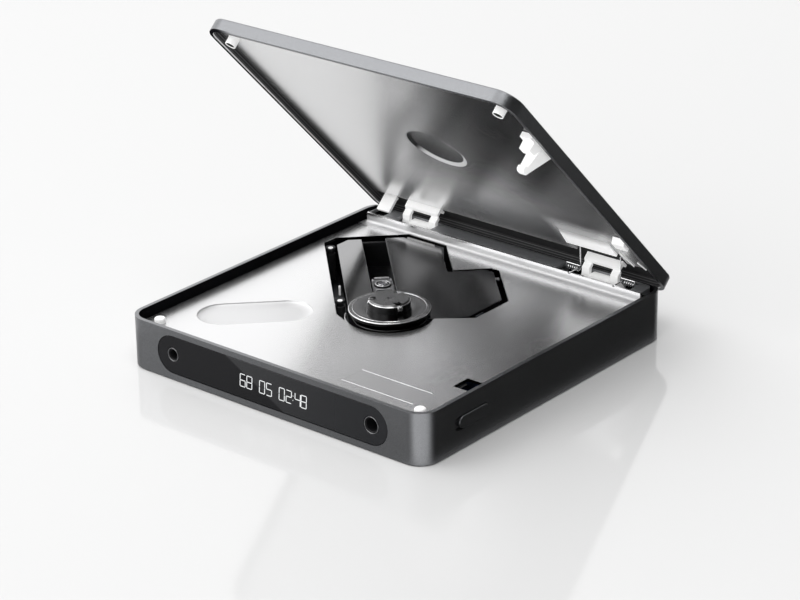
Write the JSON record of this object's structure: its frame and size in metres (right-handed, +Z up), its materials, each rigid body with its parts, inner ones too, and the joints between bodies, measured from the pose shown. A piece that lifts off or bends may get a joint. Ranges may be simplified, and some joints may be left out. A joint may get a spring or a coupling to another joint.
{
  "type": "portable disc player",
  "caption": "Square portable disc player, its sprung lid open over the deck, turntable and slanted pickup track; slide latch, side keys, front window and sockets.",
  "frame": {"origin": "middle of the base's underside, on the plane that the player rests on", "axes": "+X to the player's right, +Y to its hinged rear, +Z up"},
  "size_m": [0.1349, 0.1414, 0.1157],
  "materials": {
    "gunmetal": "dark grey anodised, bead-blasted",
    "silver_moulding": "matt silver-grey paint on a moulding",
    "white_moulding": "plain white moulding",
    "black_moulding": "matt black moulding",
    "grey_moulding": "matt grey moulding",
    "window_glass": "polished dark window",
    "dark_plate": "dark polished plate",
    "turntable_metal": "turned, dark grey",
    "bright_steel": "bright steel",
    "black_rubber": "soft black rubber",
    "circuit_board": "green solder resist",
    "battery_wrap": "shrink wrap",
    "lens_glass": "coated lens"
  },
  "bodies": {
    "base": {"base_shell": "gunmetal", "bottom_cover": "gunmetal", "foot_front_left": "black_rubber", "foot_front_right": "black_rubber", "foot_rear_left": "black_rubber", "foot_rear_right": "black_rubber", "deck": "silver_moulding", "deck_pad_left": "white_moulding", "deck_pad_right": "white_moulding", "display_window": "window_glass", "display_module": "black_moulding", "jack_small": "bright_steel", "jack_large": "bright_steel", "line_out": "bright_steel", "usb_socket": "bright_steel", "main_board": "circuit_board", "battery_cell": "battery_wrap", "key_board": "circuit_board", "hinge_shelf": "gunmetal", "hinge_spring_inner": "bright_steel", "hinge_spring_outer": "bright_steel", "hinge_bracket_left": "white_moulding", "hinge_bracket_right": "white_moulding", "hinge_pin_left": "bright_steel", "hinge_pin_right": "bright_steel", "drive_plate": "dark_plate", "drive_chassis": "black_moulding", "drive_damper_front": "white_moulding", "drive_damper_rear": "white_moulding", "spindle_motor": "bright_steel", "guide_rod_left": "bright_steel", "guide_rod_right": "bright_steel", "sled_motor": "bright_steel"},
    "lid": {"lid_shell": "gunmetal", "lid_liner": "silver_moulding", "latch_claw": "white_moulding", "lid_tab": "white_moulding", "lid_stop": "white_moulding", "hinge_arm_left": "white_moulding", "hinge_arm_right": "white_moulding", "lid_post_left": "white_moulding", "lid_post_right": "white_moulding"},
    "turntable": {"turntable": "turntable_metal", "turntable_mat": "black_rubber", "spindle_shaft": "bright_steel", "disc_hub": "turntable_metal"},
    "hub_jaw_1": {"hub_jaw_1": "bright_steel"},
    "hub_jaw_2": {"hub_jaw_2": "bright_steel"},
    "hub_jaw_3": {"hub_jaw_3": "bright_steel"},
    "sled": {"pickup_sled": "grey_moulding"},
    "lens": {"lens_holder": "grey_moulding", "pickup_lens": "lens_glass"},
    "screw": {"drive_screw": "bright_steel"},
    "open_slide": {"open_knob": "gunmetal", "slide_catch": "grey_moulding"},
    "key_previous": {"key_previous": "gunmetal"},
    "key_play": {"key_play": "gunmetal"},
    "key_next": {"key_next": "gunmetal"},
    "key_volume_down": {"key_volume_down": "gunmetal"},
    "key_volume_up": {"key_volume_up": "gunmetal"}
  },
  "joints": [
    {"name": "lid_hinge", "type": "hinge", "parent": "base", "child": "lid", "pos_m": [0, 0.06395, 0.0141], "axis": [1, 0, 0], "range_deg": [0, 46], "stiffness_Nm_per_rad": 0.2, "springref_deg": -20.4, "deforming": ["hinge_spring_inner", "hinge_spring_outer"]},
    {"name": "disc_spin", "type": "hinge", "parent": "base", "child": "turntable", "pos_m": [0, -0.00475, 0.0183], "axis": [0, 0, 1], "continuous": true},
    {"name": "hub_jaw_1_slide", "type": "slide", "parent": "turntable", "child": "hub_jaw_1", "axis": [0.1736, -0.9848, 0], "range_m": [0, 0.0005], "stiffness_N_per_m": 800, "springref_m": -0.0003},
    {"name": "hub_jaw_2_slide", "type": "slide", "parent": "turntable", "child": "hub_jaw_2", "axis": [0.766, 0.6428, 0], "range_m": [0, 0.0005], "stiffness_N_per_m": 800, "springref_m": -0.0003},
    {"name": "hub_jaw_3_slide", "type": "slide", "parent": "turntable", "child": "hub_jaw_3", "axis": [-0.9397, 0.342, 0], "range_m": [0, 0.0005], "stiffness_N_per_m": 800, "springref_m": -0.0003},
    {"name": "sled_run", "type": "slide", "parent": "base", "child": "sled", "axis": [-0.7071, 0.7071, 0], "range_m": [-0.0058, 0.0292]},
    {"name": "lens_focus", "type": "slide", "parent": "sled", "child": "lens", "axis": [0, 0, 1], "range_m": [-0.0004, 0.0004], "stiffness_N_per_m": 60},
    {"name": "screw_turn", "type": "hinge", "parent": "base", "child": "screw", "pos_m": [0.00127, 0.01547, 0.0078], "axis": [-0.7071, 0.7071, 0], "range_deg": [-720, 3600]},
    {"name": "open_slide_run", "type": "slide", "parent": "base", "child": "open_slide", "axis": [0, -1, 0], "range_m": [0, 0.002], "stiffness_N_per_m": 300, "springref_m": -0.001},
    {"name": "key_previous_press", "type": "slide", "parent": "base", "child": "key_previous", "axis": [1, 0, 0], "range_m": [0, 0.0005], "stiffness_N_per_m": 800, "springref_m": -0.0003},
    {"name": "key_play_press", "type": "slide", "parent": "base", "child": "key_play", "axis": [1, 0, 0], "range_m": [0, 0.0005], "stiffness_N_per_m": 800, "springref_m": -0.0003},
    {"name": "key_next_press", "type": "slide", "parent": "base", "child": "key_next", "axis": [1, 0, 0], "range_m": [0, 0.0005], "stiffness_N_per_m": 800, "springref_m": -0.0003},
    {"name": "key_volume_down_press", "type": "slide", "parent": "base", "child": "key_volume_down", "axis": [1, 0, 0], "range_m": [0, 0.0005], "stiffness_N_per_m": 800, "springref_m": -0.0003},
    {"name": "key_volume_up_press", "type": "slide", "parent": "base", "child": "key_volume_up", "axis": [1, 0, 0], "range_m": [0, 0.0005], "stiffness_N_per_m": 800, "springref_m": -0.0003}
  ],
  "couplings": [
    {"joint": "screw_turn", "follows": "sled_run", "rad_per_m": 2094.4}
  ]
}
